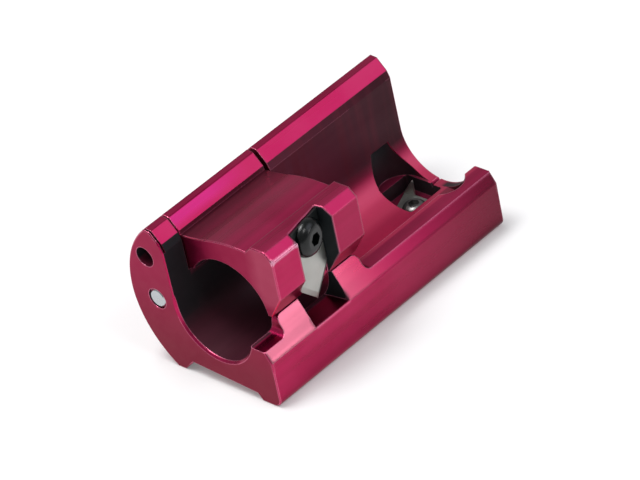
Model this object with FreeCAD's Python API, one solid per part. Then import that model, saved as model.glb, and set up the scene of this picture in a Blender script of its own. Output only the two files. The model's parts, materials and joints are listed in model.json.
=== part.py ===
import FreeCAD, Part
import math
import os

"""Hand tool that clamps round a small pipe or cable: channelled body, hinged jaw, two fixed knives.

Frame: +X runs from the jaw end to the open end of the channel, +Y from the flat side
face to the hinged back, +Z up. The origin is the middle of the footprint on the bench.
Sections are laid out from the flat side face (y = 0) and the underside of the feet (z = 0).
"""

# ---------------------------------------------------------------- driving dimensions, mm
LENGTH = 80.0               # overall, along the channel
BACK_R = 24.76              # big round back
BACK_Y = 18.14
BACK_Z = 19.90
WIDTH = BACK_Y + BACK_R

BORE_R = 11.6               # channel that the pipe lies in
BORE_Y = 17.3
BORE_Z = 19.3
RIDGE_DEG = 49.25           # where the tall wall's ridge runs on to the round back
RIDGE_END_Y = BACK_Y + BACK_R * math.cos(math.radians(RIDGE_DEG))
RIDGE_END_Z = BACK_Z + BACK_R * math.sin(math.radians(RIDGE_DEG))
RIDGE_TOP = 1.9             # width of the ridge's top
RIDGE_Y = RIDGE_END_Y - RIDGE_TOP
RIDGE_Z = RIDGE_END_Z - 0.16
RIDGE_SLOPE_Y = 2.6         # sloped inner face of the ridge
RIDGE_SLOPE_Z = 3.0
WALL_TOP_Y = RIDGE_Y - RIDGE_SLOPE_Y
WALL_TOP_Z = RIDGE_Z - RIDGE_SLOPE_Z
WALL_EASE_Y = 0.7           # eased corner between the tall wall's flat inner face and the ridge
WALL_EASE_Z = 1.8
BORE_CHAMFER = 0.6          # at the front mouth of the channel

SIDE_TOP = 12.5             # flat side face ends, sloped shoulder starts
PAD_TOP_Y = 4.25            # pads that the jaw closes on
PAD_TOP_Z = 19.65
WALL_Z = 15.3               # low wall's flat top
CORNER_R = 2.2              # lower outside corner
FOOT_Y = 5.9                # base relief between the two feet
RELIEF_Y1 = 7.2
RELIEF_Z1 = 1.7
RELIEF_Z2 = 3.0
BACK_FOOT_W = 2.27          # foot under the round back
RELIEF_RUN = 3.2            # slope between that foot and the relief
BACK_LOW_Y = BACK_Y + math.sqrt(BACK_R ** 2 - BACK_Z ** 2)
FOOT_BACK_Y = BACK_LOW_Y - BACK_FOOT_W
RELIEF_Y2 = FOOT_BACK_Y - RELIEF_RUN

PAD_X1 = 7.6                # pads run from here ...
PAD_X2 = 35.4               # ... to here
PAD_CORNER = 1.7
NOTCH_X1 = 15.4             # gap between the pads for the knife point
NOTCH_X2 = 27.2
NOTCH_DEEP_Y = 8.6
NOTCH_DEEP_Z = 11.6

JAW_X1 = 6.7                # hinged jaw
JAW_X2 = 36.0
JAW_SEAT_GAP = 0.35         # nose over the pads, jaw closed
JAW_GAP_FRONT = 0.3
JAW_GAP_REAR = 0.9          # saw-cut wide enough for the spring's leg
JAW_BORE_R = 12.0
JAW_BORE_Y = 17.5
JAW_BORE_Z = 19.0
NOSE_Y = 0.2
NOSE_LOW_Z = 26.2
NOSE_HIGH_Z = 36.6
NOSE_TOP_Z = 38.8
NOSE_SEAT_Y = PAD_TOP_Y + 0.05
NOSE_CHAMFER = 2.3
NOSE_TOP_W = 4.3
NOSE_FLAT_Y = NOSE_Y + NOSE_CHAMFER
NOSE_END_Y = NOSE_FLAT_Y + NOSE_TOP_W
NOSE_STEP = 1.8             # down from the nose's top to the jaw's arched top
ARCH_FLAT_Y = JAW_BORE_Y - JAW_BORE_R / 5
ARCH_MID_Y = JAW_BORE_Y + JAW_BORE_R * 0.375
ARCH_END = 3.8              # last stretch of the arched top, before the ridge
ARCH_DROP = 1.0
LIP_X1 = 0.4                # narrow groove behind the ridge's front lip
LIP_X2 = 0.85
LIP_OUT = 2.2
LIP_DEEP = 2.5

HINGE_DEG = 31.04           # hinge pin, seen from the round back's centre
HINGE_WEB = 4.205           # from the pin's axis out to the round back
HINGE_Y = BACK_Y + (BACK_R - HINGE_WEB) * math.cos(math.radians(HINGE_DEG))
HINGE_Z = BACK_Z + (BACK_R - HINGE_WEB) * math.sin(math.radians(HINGE_DEG))
KNUCKLE_R = HINGE_WEB + 0.795
KNUCKLE_GAP = 0.3
PIN_R = 2.38                # 3/16 in dowels
PIN_FIT = 0.02              # radial, body holes
HINGE_FIT = 0.05            # radial, turning in the jaw
HINGE_MOUTH_R = 2.65        # wider mouth in front of the recessed pin
HINGE_MOUTH_DEPTH = 3.2
HINGE_PIN_END = 49.0
ANCHOR_WEB = 8.07           # from the anchor pin's axis out to the round back
ANCHOR_Y = BACK_Y + BACK_R - ANCHOR_WEB - 0.03
ANCHOR_Z = BACK_Z - 1.0
ANCHOR_END = 40.0
ANCHOR_MOUTH_R = 2.72
ANCHOR_MOUTH_DEPTH = 0.8

SPRING_WIRE_R = 0.36
SPRING_MEAN_R = 2.95
SPRING_COILS = 4.5
SPRING_PITCH = 0.80
SPRING_POCKET_R = 3.55

SLOT_ANGLE = 10.5           # slitting knife is set skew to the channel
SLOT_WIDTH = 11.6
SLOT_MID_X = 21.3
SLOT_DEPTH = 3.4            # to the knife's seat, from the nose's flat face
KNIFE_T = 0.6
KNIFE_HALF = 5.6
KNIFE_POINT_Z = 16.7
KNIFE_TOP_Z = 38.3
KNIFE_BEVEL = 1.2
KNIFE_SCREW_DROP = 4.3
KNIFE_SCREW_Z = KNIFE_TOP_Z - KNIFE_SCREW_DROP
KNIFE_HOLE_R = 2.6
SCREW_HEAD_R = 4.75         # slitting knife's button-head screw
SCREW_HEAD_H = 2.5
SCREW_SHANK_R = 2.4
SCREW_SHANK_L = 6.2
SCREW_HEX_R = 1.5           # across flats, halved
SCREW_HEX_DEPTH = 1.6

POCKET_R = 5.95             # round-ended slot milled across the channel for the ring-cutting knife
POCKET_FROM_END = 8.5
POCKET_MID_X = LENGTH - POCKET_FROM_END
POCKET_Y1 = 10.0            # centres of its round ends
POCKET_Y2 = 23.85
POCKET_STEP_Z = 8.0
SEAT_X1 = POCKET_MID_X - POCKET_R + 0.05    # deeper seat of the ring knife, in the slot
SEAT_X2 = POCKET_MID_X + POCKET_R - 0.6
SEAT_Y1 = 15.6
SEAT_Y2 = 27.0
SEAT_FLOOR = 4.0
SEAT_CORNER = 0.9
RING_T = 0.6
RING_FOOT_GAP = 0.5         # foot of the ring knife, in from the seat's sides
RING_FOOT_X1 = SEAT_X1 + 0.9
RING_WEB_X = POCKET_MID_X + 2.6
RING_TIP_Y = 22.9
RING_TIP_Z = 9.1
RING_HEEL_Y = 26.2
RING_SCREW_X = POCKET_MID_X - 1.6
RING_SCREW_IN = 3.3
RING_SCREW_Y = SEAT_Y1 + RING_SCREW_IN
RING_SCREW_HOLE_R = 2.1
RING_HEAD_R = 3.1
RING_HEAD_H = 2.1
RING_SHANK_R = 2.0
RING_SHANK_L = 2.1
RING_HEX_R = 1.25
RING_HEX_DEPTH = 1.3
MARK_Y = BORE_Y + 1.6       # index mark at the bottom of the channel's open end
MARK_W = 1.8
MARK_Z = BORE_Z - BORE_R - 1.0

EDGE = 0.25                 # broken edges of the machined ends
OVERRUN = 3.0               # how far a cutter runs on past the metal
V = FreeCAD.Vector


def at(x, y, z):
    """Point given from the front end, the flat side face and the underside of the feet."""
    return V(x - LENGTH / 2, y - WIDTH / 2, z)


def circle_point(cy, cz, radius, degrees):
    """Point of a circle in the cross-section."""
    a = math.radians(degrees)
    return (cy + radius * math.cos(a), cz + radius * math.sin(a))


def section(x, steps):
    """Closed cross-section at x. A step is a (y, z) corner or ("arc", via, end)."""
    first = steps[0]
    here = at(x, *first)
    edges = []
    for step in steps[1:] + [first]:
        if step[0] == "arc":
            via, end = at(x, *step[1]), at(x, *step[2])
            edges.append(Part.Arc(here, via, end).toShape())
        else:
            end = at(x, *step)
            if (end - here).Length < 1e-6:
                continue
            edges.append(Part.makeLine(here, end))
        here = end
    return Part.Face(Part.Wire(edges))


def prism(x1, x2, steps):
    """Cross-section run along the tool from x1 to x2."""
    return section(x1, steps).extrude(V(x2 - x1, 0, 0))


def rod(x1, x2, y, z, radius):
    """Round bar or hole lying along the tool."""
    return Part.makeCylinder(radius, x2 - x1, at(x1, y, z), V(1, 0, 0))


def long_edges(solid, places):
    """Edges along X that pass through any of the given (y, z) places."""
    found = []
    for edge in solid.Edges:
        a, b = edge.Vertexes[0].Point, edge.Vertexes[-1].Point
        if abs(a.y - b.y) > 1e-4 or abs(a.z - b.z) > 1e-4 or abs(a.x - b.x) < 1.0:
            continue
        for y, z in places:
            if abs(a.y + WIDTH / 2 - y) < 0.02 and abs(a.z - z) < 0.02:
                found.append(edge)
    return found


def end_edges(solid, xs):
    """Edges lying wholly in one of the end planes."""
    found = []
    for edge in solid.Edges:
        box = edge.BoundBox
        for x in xs:
            place = x - LENGTH / 2
            if abs(box.XMin - place) < 1e-4 and abs(box.XMax - place) < 1e-4:
                found.append(edge)
    return found


def one_solid(shape):
    """The single solid inside a boolean result."""
    shape = shape.removeSplitter()
    return sorted(shape.Solids, key=lambda s: s.Volume)[-1]


def hex_hole(radius_flat, depth, base, axis):
    """Hexagon socket cut downwards from base against the axis."""
    corners = []
    for k in range(7):
        a = math.radians(60 * k)
        corners.append(V(radius_flat / math.cos(math.pi / 6) * math.cos(a),
                         radius_flat / math.cos(math.pi / 6) * math.sin(a), 0))
    blank = Part.Face(Part.makePolygon(corners)).extrude(V(0, 0, -depth))
    blank.Placement = FreeCAD.Placement(base, FreeCAD.Rotation(V(0, 0, 1), axis))
    return blank


def low_wall_cut(sign, pad_x):
    """Material milled off the low wall beyond a pad, with a rounded run-out."""
    far = -OVERRUN if sign < 0 else LENGTH + OVERRUN
    r = PAD_CORNER
    s = math.sqrt(0.5)

    def p(dx, z):
        return at(pad_x + sign * dx, -OVERRUN, z)

    top = PAD_TOP_Z + OVERRUN
    corner = at(far, -OVERRUN, top)
    foot = at(far, -OVERRUN, WALL_Z)
    edges = [
        Part.makeLine(corner, foot),
        Part.makeLine(foot, p(r, WALL_Z)),
        Part.Arc(p(r, WALL_Z), p(r - r * s, WALL_Z + r - r * s), p(0, WALL_Z + r)).toShape(),
        Part.makeLine(p(0, WALL_Z + r), p(0, PAD_TOP_Z - r)),
        Part.Arc(p(0, PAD_TOP_Z - r), p(-r + r * s, PAD_TOP_Z - r + r * s), p(-r, PAD_TOP_Z)).toShape(),
        Part.makeLine(p(-r, PAD_TOP_Z), p(-r, top)),
        Part.makeLine(p(-r, top), corner),
    ]
    return Part.Face(Part.Wire(edges)).extrude(V(0, OVERRUN + BORE_Y - BORE_R / 2, 0))


def ring_knife_pocket():
    """Round-ended slot across the channel, with the ring knife's deeper seat in its floor."""
    above = WALL_Z + OVERRUN - POCKET_STEP_Z
    ends = [Part.makeCylinder(POCKET_R, above, at(POCKET_MID_X, y, POCKET_STEP_Z), V(0, 0, 1))
            for y in (POCKET_Y1, POCKET_Y2)]
    middle = Part.makeBox(2 * POCKET_R, POCKET_Y2 - POCKET_Y1, above,
                          at(POCKET_MID_X - POCKET_R, POCKET_Y1, POCKET_STEP_Z))
    seat = Part.makeBox(SEAT_X2 - SEAT_X1, SEAT_Y2 - SEAT_Y1, POCKET_STEP_Z + OVERRUN - SEAT_FLOOR,
                        at(SEAT_X1, SEAT_Y1, SEAT_FLOOR))
    upright = [e for e in seat.Edges if abs(e.Vertexes[0].Z - e.Vertexes[-1].Z) > 1.0]
    seat = seat.makeFillet(SEAT_CORNER, upright)
    return middle.multiFuse(ends + [seat])


def make_body():
    """Channelled body: low wall with pads, tall wall with the hinge, cut-outs and holes."""
    bore_left = BORE_Y - math.sqrt(BORE_R ** 2 - (PAD_TOP_Z - BORE_Z) ** 2)
    corner = circle_point(CORNER_R, CORNER_R, CORNER_R, 225)
    shape = prism(0, LENGTH, [
        (CORNER_R, 0),
        (FOOT_Y, 0),
        (RELIEF_Y1, RELIEF_Z1),
        (RELIEF_Y2, RELIEF_Z2),
        (FOOT_BACK_Y, 0),
        (BACK_LOW_Y, 0),
        ("arc", (WIDTH, BACK_Z), (RIDGE_END_Y, RIDGE_END_Z)),
        (RIDGE_Y, RIDGE_Z),
        (WALL_TOP_Y, WALL_TOP_Z),
        (WALL_TOP_Y - WALL_EASE_Y, WALL_TOP_Z - WALL_EASE_Z),
        (BORE_Y + BORE_R, BORE_Z),
        ("arc", (BORE_Y, BORE_Z - BORE_R), (bore_left, PAD_TOP_Z)),
        (PAD_TOP_Y, PAD_TOP_Z),
        (0, SIDE_TOP),
        (0, CORNER_R),
        ("arc", corner, (CORNER_R, 0)),
    ])
    shape = shape.makeFillet(0.5, long_edges(shape, [(RIDGE_Y, RIDGE_Z), (RIDGE_END_Y, RIDGE_END_Z)]))
    shape = shape.makeFillet(0.3, long_edges(shape, [(WALL_TOP_Y, WALL_TOP_Z)]))
    shape = shape.makeFillet(0.9, long_edges(shape, [(0, SIDE_TOP)]))
    shape = shape.makeChamfer(EDGE, end_edges(shape, [0, LENGTH]))
    mouth = Part.makeCone(BORE_R + BORE_CHAMFER + OVERRUN, BORE_R, BORE_CHAMFER + OVERRUN,
                          at(-OVERRUN, BORE_Y, BORE_Z), V(1, 0, 0))
    shape = shape.cut(mouth)

    # low wall: milled down at both ends of the pads, knife notch between them
    shape = shape.cut(low_wall_cut(-1, PAD_X1))
    shape = shape.cut(low_wall_cut(1, PAD_X2))
    notch = prism(NOTCH_X1, NOTCH_X2, [
        (-OVERRUN, SIDE_TOP + 0.3), (0, SIDE_TOP + 0.3), (NOTCH_DEEP_Y, NOTCH_DEEP_Z),
        (NOTCH_DEEP_Y, PAD_TOP_Z + OVERRUN), (-OVERRUN, PAD_TOP_Z + OVERRUN)])
    shape = shape.cut(notch)

    # cut-out in the tall wall for the jaw's knuckle
    free_r = KNUCKLE_R + KNUCKLE_GAP
    floor_z = HINGE_Z - free_r
    cut_out = prism(JAW_X1 - JAW_GAP_FRONT, JAW_X2 + JAW_GAP_REAR, [
        (BORE_Y, floor_z), (HINGE_Y, floor_z),
        ("arc", circle_point(HINGE_Y, HINGE_Z, free_r, -45), (HINGE_Y + free_r, HINGE_Z)),
        (WIDTH + OVERRUN, HINGE_Z), (WIDTH + OVERRUN, RIDGE_Z + OVERRUN), (BORE_Y, RIDGE_Z + OVERRUN)])
    shape = shape.cut(cut_out)
    # narrow groove that leaves a thin lip at the front of the ridge
    over = RIDGE_Z + OVERRUN
    groove = prism(LIP_X1, LIP_X2, [
        (WALL_TOP_Y - ARCH_END, WALL_TOP_Z - LIP_DEEP / 2), (WALL_TOP_Y + 1.4, WALL_TOP_Z - LIP_DEEP),
        (RIDGE_END_Y + LIP_OUT, RIDGE_END_Z - LIP_OUT / 2), (RIDGE_END_Y + LIP_OUT, over),
        (WALL_TOP_Y - ARCH_END, over)])
    shape = shape.cut(groove)

    # hinge pin, anchor pin and the slot for the spring's leg
    shape = shape.cut(rod(-OVERRUN, HINGE_MOUTH_DEPTH, HINGE_Y, HINGE_Z, HINGE_MOUTH_R))
    shape = shape.cut(rod(-OVERRUN, HINGE_PIN_END, HINGE_Y, HINGE_Z, PIN_R + PIN_FIT))
    shape = shape.cut(rod(-OVERRUN, ANCHOR_END, ANCHOR_Y, ANCHOR_Z, PIN_R + PIN_FIT))
    shape = shape.cut(rod(-OVERRUN, ANCHOR_MOUTH_DEPTH, ANCHOR_Y, ANCHOR_Z, ANCHOR_MOUTH_R))
    leg_y = ANCHOR_Y + PIN_R
    shape = shape.cut(prism(JAW_X2, JAW_X2 + JAW_GAP_REAR, [
        (leg_y - 0.8, ANCHOR_Z - 2.7), (leg_y + 2.2, ANCHOR_Z - 2.7),
        (leg_y + 2.2, HINGE_Z - 2.0), (leg_y - 0.8, HINGE_Z - 2.0)]))

    shape = shape.cut(ring_knife_pocket())
    screw_hole = Part.makeCylinder(RING_SHANK_R + 0.05, SEAT_FLOOR + 2 * OVERRUN,
                                   at(RING_SCREW_X, RING_SCREW_Y, -OVERRUN), V(0, 0, 1))
    shape = shape.cut(screw_hole)
    mark = prism(POCKET_MID_X, LENGTH + OVERRUN, [
        (MARK_Y - MARK_W / 2, MARK_Z + 1.9), (MARK_Y, MARK_Z), (MARK_Y + MARK_W / 2, MARK_Z + 1.9)])
    shape = shape.cut(mark)
    return one_solid(shape)


def skew(x, y, z):
    """Direction or offset turned into the skew slot of the slitting knife."""
    a = math.radians(SLOT_ANGLE)
    return V(x * math.cos(a) - y * math.sin(a), x * math.sin(a) + y * math.cos(a), z)


def slot_point(u, depth, z):
    """Point in the knife's slot: u along the knife, depth in from the nose's flat face."""
    return at(SLOT_MID_X, NOSE_Y, 0) + skew(u, depth, z)


def make_jaw():
    """Hinged jaw: arch over the channel, nose with the knife's slot, knuckle round the pin."""
    nose_z = PAD_TOP_Z + JAW_SEAT_GAP
    nose_in = JAW_BORE_Y - math.sqrt(JAW_BORE_R ** 2 - (nose_z - JAW_BORE_Z) ** 2)
    heel_z = HINGE_Z - KNUCKLE_R
    heel_in = JAW_BORE_Y + math.sqrt(JAW_BORE_R ** 2 - (heel_z - JAW_BORE_Z) ** 2)
    # the round back meets the knuckle's own radius here
    span = math.hypot(HINGE_Y - BACK_Y, HINGE_Z - BACK_Z)
    uy, uz = (HINGE_Y - BACK_Y) / span, (HINGE_Z - BACK_Z) / span
    along = (BACK_R ** 2 - KNUCKLE_R ** 2 + span ** 2) / (2 * span)
    off = math.sqrt(BACK_R ** 2 - along ** 2)
    meet = (BACK_Y + along * uy + off * uz, BACK_Z + along * uz - off * uy)
    shape = prism(JAW_X1, JAW_X2, [
        (nose_in, nose_z),
        (NOSE_SEAT_Y, nose_z),
        (NOSE_Y, NOSE_LOW_Z),
        (NOSE_Y, NOSE_HIGH_Z),
        (NOSE_FLAT_Y, NOSE_TOP_Z),
        (NOSE_END_Y, NOSE_TOP_Z),
        (NOSE_END_Y + NOSE_STEP, NOSE_TOP_Z - NOSE_STEP),
        ("arc", (ARCH_FLAT_Y, NOSE_TOP_Z - NOSE_STEP - 0.1), (ARCH_MID_Y, WALL_TOP_Z + 0.2)),
        ("arc", (WALL_TOP_Y - ARCH_END, WALL_TOP_Z - 0.6), (WALL_TOP_Y - 0.1, WALL_TOP_Z - ARCH_DROP)),
        (WALL_TOP_Y + 0.1, WALL_TOP_Z),
        (RIDGE_Y + 0.1, RIDGE_Z),
        (RIDGE_END_Y, RIDGE_END_Z),
        ("arc", circle_point(BACK_Y, BACK_Z, BACK_R, 36), meet),
        ("arc", circle_point(HINGE_Y, HINGE_Z, KNUCKLE_R, -50), (HINGE_Y, heel_z)),
        (heel_in, heel_z),
        ("arc", (JAW_BORE_Y, JAW_BORE_Z + JAW_BORE_R), (nose_in, nose_z)),
    ])
    shape = shape.makeFillet(0.35, long_edges(shape, [
        (NOSE_Y, NOSE_HIGH_Z), (NOSE_FLAT_Y, NOSE_TOP_Z), (NOSE_Y, NOSE_LOW_Z), (NOSE_END_Y, NOSE_TOP_Z)]))
    shape = shape.makeFillet(0.8, long_edges(shape, [(RIDGE_Y + 0.1, RIDGE_Z)]))
    shape = shape.makeChamfer(0.2, end_edges(shape, [JAW_X1, JAW_X2]))

    # skew slot for the slitting knife, open at the nose's face, top and bottom
    half = SLOT_WIDTH / 2
    low = KNIFE_POINT_Z - OVERRUN
    plan = [slot_point(-half, -OVERRUN, low), slot_point(half, -OVERRUN, low),
            slot_point(half, SLOT_DEPTH, low), slot_point(-half, SLOT_DEPTH, low)]
    slot = Part.Face(Part.makePolygon(plan + plan[:1])).extrude(V(0, 0, NOSE_TOP_Z + OVERRUN - low))
    shape = shape.cut(slot)
    screw_hole = Part.makeCylinder(SCREW_SHANK_R + 0.05, SCREW_SHANK_L,
                                   slot_point(0, SLOT_DEPTH - 0.1, KNIFE_SCREW_Z), skew(0, 1, 0))
    shape = shape.cut(screw_hole)
    # hinge bore and spring pocket
    shape = shape.cut(rod(0, LENGTH, HINGE_Y, HINGE_Z, PIN_R + HINGE_FIT))
    shape = shape.cut(rod(SPRING_X1 - 0.5, LENGTH, HINGE_Y, HINGE_Z, SPRING_POCKET_R))
    tang_y, tang_z = circle_point(HINGE_Y, HINGE_Z, SPRING_MEAN_R, SPRING_TANG_DEG)
    shape = shape.cut(rod(SPRING_X1 - 3.0, SPRING_X1, tang_y, tang_z, SPRING_WIRE_R + 0.05))
    return one_solid(shape)


SPRING_X2 = JAW_X2 + JAW_GAP_REAR / 2          # plane of the leg that lies in the saw-cut
SPRING_X1 = SPRING_X2 - SPRING_COILS * SPRING_PITCH
SPRING_LEG_DEG = -3.0                           # where the leg leaves the coil
SPRING_TANG_DEG = SPRING_LEG_DEG - 360.0 * (SPRING_COILS % 1)


def make_spring():
    """Torsion spring on the hinge pin: tang in the jaw, leg down against the anchor pin."""
    height = SPRING_COILS * SPRING_PITCH
    helix = Part.makeHelix(SPRING_PITCH, height, SPRING_MEAN_R)
    start = V(SPRING_MEAN_R, 0, 0)
    profile = Part.Wire(Part.makeCircle(SPRING_WIRE_R, start, V(0, 1, SPRING_PITCH / (2 * math.pi * SPRING_MEAN_R))))
    coil = Part.Wire(helix).makePipeShell([profile], True, True)
    turn = FreeCAD.Rotation(V(0, 1, 0), 90)
    spin = FreeCAD.Rotation(V(1, 0, 0), 0)
    coil.Placement = FreeCAD.Placement(V(0, 0, 0), turn)
    # the helix starts on -Z after the turn; swing its far end to where the leg leaves
    far = coil.copy()
    lowest = -90.0
    end_deg = lowest + 360.0 * SPRING_COILS * spring_hand()
    swing = SPRING_LEG_DEG - end_deg
    far.rotate(V(0, 0, 0), V(1, 0, 0), swing)
    far.translate(at(SPRING_X1, HINGE_Y, HINGE_Z))
    solid = far.Solids[0] if far.Solids else Part.Solid(Part.Shell(far.Faces))
    end_y, end_z = circle_point(HINGE_Y, HINGE_Z, SPRING_MEAN_R, SPRING_LEG_DEG)
    leg_from = at(SPRING_X2, end_y, end_z)
    leg_to = at(SPRING_X2, ANCHOR_Y + PIN_R + SPRING_WIRE_R + 0.02, ANCHOR_Z - 1.2)
    leg_dir = leg_to - leg_from
    leg = Part.makeCylinder(SPRING_WIRE_R, leg_dir.Length, leg_from, leg_dir)
    knee = Part.makeSphere(SPRING_WIRE_R, leg_from)
    start_deg = lowest + swing
    tang_y, tang_z = circle_point(HINGE_Y, HINGE_Z, SPRING_MEAN_R, start_deg)
    tang = rod(SPRING_X1 - 2.8, SPRING_X1, tang_y, tang_z, SPRING_WIRE_R)
    elbow = Part.makeSphere(SPRING_WIRE_R, at(SPRING_X1, tang_y, tang_z))
    print("spring starts at", round(start_deg % 360, 1), "tang hole at", round(SPRING_TANG_DEG % 360, 1))
    return one_solid(solid.multiFuse([leg, knee, tang, elbow]))


def spring_hand():
    """+1 when the turned helix winds anticlockwise seen along -X, -1 otherwise."""
    return -1.0


def make_pin(x1, x2, y, z):
    """Ground dowel with small end chamfers."""
    pin = rod(x1, x2, y, z, PIN_R)
    return pin.makeChamfer(0.3, end_edges(pin, [x1, x2]))


def button_screw(base, axis, head_r, head_h, shank_r, shank_l, hex_r, hex_depth):
    """Button-head socket screw; base is the middle of the head's underside, axis points out."""
    s = math.sin(math.radians(40))
    rim = 0.35
    edges = [
        Part.makeLine(V(0, 0, -shank_l), V(shank_r - 0.3, 0, -shank_l)),
        Part.makeLine(V(shank_r - 0.3, 0, -shank_l), V(shank_r, 0, -shank_l + 0.3)),
        Part.makeLine(V(shank_r, 0, -shank_l + 0.3), V(shank_r, 0, 0)),
        Part.makeLine(V(shank_r, 0, 0), V(head_r, 0, 0)),
        Part.makeLine(V(head_r, 0, 0), V(head_r, 0, rim)),
        Part.Arc(V(head_r, 0, rim), V(head_r * 0.86, 0, rim + (head_h - rim) * s),
                 V(head_r * 0.55, 0, head_h)).toShape(),
        Part.makeLine(V(head_r * 0.55, 0, head_h), V(0, 0, head_h)),
        Part.makeLine(V(0, 0, head_h), V(0, 0, -shank_l)),
    ]
    screw = Part.Face(Part.Wire(edges)).revolve(V(0, 0, 0), V(0, 0, 1), 360)
    screw.Placement = FreeCAD.Placement(base, FreeCAD.Rotation(V(0, 0, 1), axis))
    top = base + V(axis).normalize() * head_h
    return one_solid(screw.cut(hex_hole(hex_r, hex_depth, top, axis)))


def make_slitting_knife():
    """Pointed plate knife in the jaw's skew slot, ground on both edges of its point."""
    half = KNIFE_HALF
    shoulder = KNIFE_POINT_Z + half
    outline = [(0, KNIFE_POINT_Z), (half, shoulder), (half, KNIFE_TOP_Z), (-half, KNIFE_TOP_Z), (-half, shoulder)]
    points = [slot_point(u, SLOT_DEPTH, z) for u, z in outline]
    plate = Part.Face(Part.makePolygon(points + points[:1])).extrude(skew(0, -KNIFE_T, 0))
    run = math.sqrt(0.5)
    length = 2.2 * half
    for side in (-1, 1):
        # wedge that grinds the face away towards the edge
        start_u = side * 0.5 * half - side * run * length / 2
        start_z = KNIFE_POINT_Z + 0.5 * half - run * length / 2
        corners = []
        for out, deep in (
            (-KNIFE_BEVEL, KNIFE_T),
            (0.3, KNIFE_T * 0.12),
            (2.0, KNIFE_T * 0.12),
            (2.0, KNIFE_T + 1.0),
            (-KNIFE_BEVEL, KNIFE_T + 1.0),
        ):
            corners.append(slot_point(start_u + side * run * out, SLOT_DEPTH - deep, start_z - run * out))
        wedge = Part.Face(Part.makePolygon(corners + corners[:1]))
        plate = plate.cut(wedge.extrude(skew(side * run * length, 0, run * length)))
    hole = Part.makeCylinder(KNIFE_HOLE_R, 2 * OVERRUN, slot_point(0, SLOT_DEPTH + OVERRUN, KNIFE_SCREW_Z),
                             skew(0, -1, 0))
    return one_solid(plate.cut(hole))


def make_ring_knife():
    """Bent knife: foot clamped on the pocket's floor, pointed web standing into the channel."""
    z0 = SEAT_FLOOR
    foot_y = SEAT_Y1 + RING_FOOT_GAP
    web_x2 = RING_WEB_X + RING_T
    foot_pts = [(RING_FOOT_X1, foot_y), (web_x2, foot_y), (web_x2, RING_HEEL_Y), (RING_FOOT_X1, RING_TIP_Y)]
    wire = Part.makePolygon([at(x, y, z0) for x, y in foot_pts + foot_pts[:1]])
    foot = Part.Face(wire).extrude(V(0, 0, RING_T))
    web = prism(RING_WEB_X, web_x2, [
        (RING_TIP_Y - 0.1, z0), (RING_HEEL_Y, z0), (RING_HEEL_Y, z0 + RING_T),
        (RING_TIP_Y, RING_TIP_Z), (RING_TIP_Y - 0.1, RING_TIP_Z - 0.4)])
    knife = one_solid(foot.fuse(web))
    hole = Part.makeCylinder(RING_SCREW_HOLE_R, 2 * OVERRUN, at(RING_SCREW_X, RING_SCREW_Y, z0 - OVERRUN),
                             V(0, 0, 1))
    return one_solid(knife.cut(hole))


def main():
    """Build each piece and write one STEP file for it."""
    os.makedirs("parts", exist_ok=True)
    pieces = {
        "body": make_body(),
        "jaw": make_jaw(),
        "hinge_pin": make_pin(HINGE_MOUTH_DEPTH - 0.2, HINGE_PIN_END, HINGE_Y, HINGE_Z),
        "anchor_pin": make_pin(0.1, ANCHOR_END, ANCHOR_Y, ANCHOR_Z),
        "jaw_spring": make_spring(),
        "slitting_knife": make_slitting_knife(),
        "slitting_knife_screw": button_screw(
            slot_point(0, SLOT_DEPTH - KNIFE_T, KNIFE_SCREW_Z), skew(0, -1, 0),
            SCREW_HEAD_R, SCREW_HEAD_H, SCREW_SHANK_R, SCREW_SHANK_L, SCREW_HEX_R, SCREW_HEX_DEPTH),
        "ring_knife": make_ring_knife(),
        "ring_knife_screw": button_screw(
            at(RING_SCREW_X, RING_SCREW_Y, SEAT_FLOOR + RING_T), V(0, 0, 1),
            RING_HEAD_R, RING_HEAD_H, RING_SHANK_R, RING_SHANK_L, RING_HEX_R, RING_HEX_DEPTH),
    }
    for name, shape in pieces.items():
        ok = shape.isValid() and len(shape.Solids) == 1
        box = shape.BoundBox
        print(name, "ok" if ok else "BAD", "faces", len(shape.Faces), "volume", round(shape.Volume, 1),
              "x", round(box.XMin, 2), round(box.XMax, 2), "y", round(box.YMin, 2), round(box.YMax, 2),
              "z", round(box.ZMin, 2), round(box.ZMax, 2))
        shape.exportStep(os.path.join("parts", name + ".step"))


main()
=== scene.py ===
"""Looks of a clamp-on pipe and cable cutter: anodised body and jaw, steel knives, pins and screws."""
import json
import logging
import math
from dataclasses import dataclass
from enum import Enum
from typing import Dict, Sequence, Tuple

import bmesh
import bpy
from mathutils import Matrix, Vector


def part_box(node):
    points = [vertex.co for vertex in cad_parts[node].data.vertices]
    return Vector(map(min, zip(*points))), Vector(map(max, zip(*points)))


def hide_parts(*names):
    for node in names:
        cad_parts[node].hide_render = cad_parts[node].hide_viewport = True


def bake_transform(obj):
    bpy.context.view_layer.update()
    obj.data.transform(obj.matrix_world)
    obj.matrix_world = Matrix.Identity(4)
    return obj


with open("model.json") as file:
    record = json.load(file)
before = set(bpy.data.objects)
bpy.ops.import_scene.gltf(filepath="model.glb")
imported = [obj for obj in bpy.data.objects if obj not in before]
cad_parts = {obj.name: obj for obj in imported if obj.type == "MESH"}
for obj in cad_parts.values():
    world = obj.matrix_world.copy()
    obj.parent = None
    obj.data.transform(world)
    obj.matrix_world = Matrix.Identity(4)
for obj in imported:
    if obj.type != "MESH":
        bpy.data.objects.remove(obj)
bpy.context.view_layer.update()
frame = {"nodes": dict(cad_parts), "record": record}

LOG = logging.getLogger("cutter")
MM = 0.001
Colour = Tuple[float, float, float]
Pair = Tuple[float, float]
Triple = Tuple[float, float, float]
Node = bpy.types.Node
Socket = bpy.types.NodeSocket
Tree = bpy.types.NodeTree
WHITE: Colour = (1.0, 1.0, 1.0)


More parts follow.
